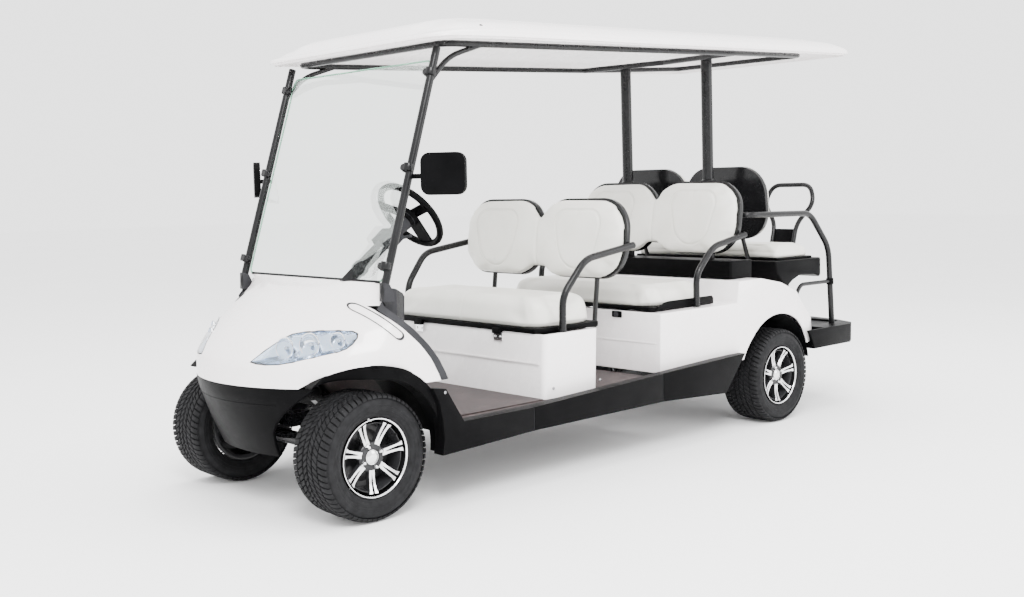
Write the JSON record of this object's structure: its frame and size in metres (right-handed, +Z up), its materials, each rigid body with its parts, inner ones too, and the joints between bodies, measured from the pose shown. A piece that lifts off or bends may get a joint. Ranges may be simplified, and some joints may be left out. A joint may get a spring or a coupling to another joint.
{
  "type": "golf cart",
  "caption": "Open passenger golf cart with forward benches and a rear-facing bench, arched roof on posts, clear windshield, steered front wheels and rear foot platform.",
  "frame": {"origin": "centre of the cart's footprint, on the floor under the tyres", "axes": "-Y is the cart's front, +X its left side, +Z up"},
  "size_m": [1.3928, 3.7808, 1.9409],
  "materials": {
    "white_body": "gloss",
    "black_plastic": "satin",
    "dark_trim": "satin",
    "black_frame": "gloss",
    "floor_mat": "matte",
    "battery_case": "matte",
    "seat_vinyl": "satin",
    "lamp_lens": "gloss",
    "clear_glass": "gloss",
    "steel": "satin",
    "tyre": "matte",
    "rim": "machined gloss"
  },
  "bodies": {
    "root": {"chassis_frame": "black_frame", "floor_pan": "floor_mat", "front_cowl": "white_body", "front_valance": "black_plastic", "dash_and_door_trims": "dark_trim", "headlights": "lamp_lens", "arch_liners": "black_plastic", "side_sills": "black_plastic", "front_seat_pod": "white_body", "rear_body": "white_body", "rear_bulkhead": "black_plastic", "battery_pack": "battery_case", "backrest_cushions": "seat_vinyl", "backrest_shells": "black_plastic", "seat_armrests": "black_frame", "rear_seat_tray": "black_plastic", "rear_grab_rails": "black_frame", "rear_foot_platform": "black_plastic", "windshield": "clear_glass", "roof_posts": "black_frame", "roof_frame": "black_frame", "roof": "white_body", "side_mirrors": "black_plastic", "steering_column": "dark_trim", "pedals": "dark_trim", "front_axle": "black_frame", "leaf_springs": "black_frame", "rear_axle": "black_frame"},
    "front_left_knuckle": {"front_left_knuckle": "steel"},
    "front_right_knuckle": {"front_right_knuckle": "steel"},
    "front_left_wheel": {"front_left_tyre": "tyre", "front_left_rim": "rim"},
    "front_right_wheel": {"front_right_tyre": "tyre", "front_right_rim": "rim"},
    "rear_left_wheel": {"rear_left_tyre": "tyre", "rear_left_rim": "rim"},
    "rear_right_wheel": {"rear_right_tyre": "tyre", "rear_right_rim": "rim"},
    "tie_rod": {"tie_rod": "steel"},
    "steering_wheel": {"steering_wheel": "black_plastic"},
    "front_seat": {"front_seat_base": "black_plastic", "front_seat_cushion": "seat_vinyl"},
    "middle_seat": {"middle_seat_base": "black_plastic", "middle_seat_cushion": "seat_vinyl"},
    "rear_seat": {"rear_seat_board": "black_plastic", "rear_seat_cushion": "seat_vinyl"}
  },
  "joints": [
    {"name": "left_steer", "type": "hinge", "parent": "root", "child": "front_left_knuckle", "pos_m": [0.335, -1.57968, 0.23], "axis": [0, 0, 1], "range_deg": [-28, 28]},
    {"name": "right_steer", "type": "hinge", "parent": "root", "child": "front_right_knuckle", "pos_m": [-0.335, -1.57968, 0.23], "axis": [0, 0, 1], "range_deg": [-28, 28]},
    {"name": "tie_rod_swing", "type": "hinge", "parent": "front_left_knuckle", "child": "tie_rod", "pos_m": [0.335, -1.49468, 0.174], "axis": [0, 0, 1], "range_deg": [-28, 28]},
    {"name": "steering_wheel_turn", "type": "hinge", "parent": "root", "child": "steering_wheel", "pos_m": [0.24, -1.16968, 1.07], "axis": [0, 0.7869, 0.617], "range_deg": [-450, 450]},
    {"name": "front_left_roll", "type": "hinge", "parent": "front_left_knuckle", "child": "front_left_wheel", "pos_m": [0.4365, -1.57968, 0.23], "axis": [1, 0, 0], "continuous": true},
    {"name": "front_right_roll", "type": "hinge", "parent": "front_right_knuckle", "child": "front_right_wheel", "pos_m": [-0.4365, -1.57968, 0.23], "axis": [1, 0, 0], "continuous": true},
    {"name": "rear_left_roll", "type": "hinge", "parent": "root", "child": "rear_left_wheel", "pos_m": [0.494, 0.87032, 0.23], "axis": [1, 0, 0], "continuous": true},
    {"name": "rear_right_roll", "type": "hinge", "parent": "root", "child": "rear_right_wheel", "pos_m": [-0.494, 0.87032, 0.23], "axis": [1, 0, 0], "continuous": true},
    {"name": "front_seat_lift", "type": "hinge", "parent": "root", "child": "front_seat", "pos_m": [0, -0.73668, 0.578], "axis": [1, 0, 0], "range_deg": [0, 75]},
    {"name": "middle_seat_lift", "type": "hinge", "parent": "root", "child": "middle_seat", "pos_m": [0, 0.46832, 0.6175], "axis": [-1, 0, 0], "range_deg": [0, 45]},
    {"name": "rear_seat_flip", "type": "hinge", "parent": "root", "child": "rear_seat", "pos_m": [0, 1.35532, 0.791], "axis": [-1, 0, 0], "range_deg": [0, 95]}
  ],
  "couplings": [
    {"joint": "right_steer", "follows": "left_steer", "ratio": 1},
    {"joint": "tie_rod_swing", "follows": "left_steer", "ratio": -1},
    {"joint": "steering_wheel_turn", "follows": "left_steer", "ratio": 16}
  ]
}
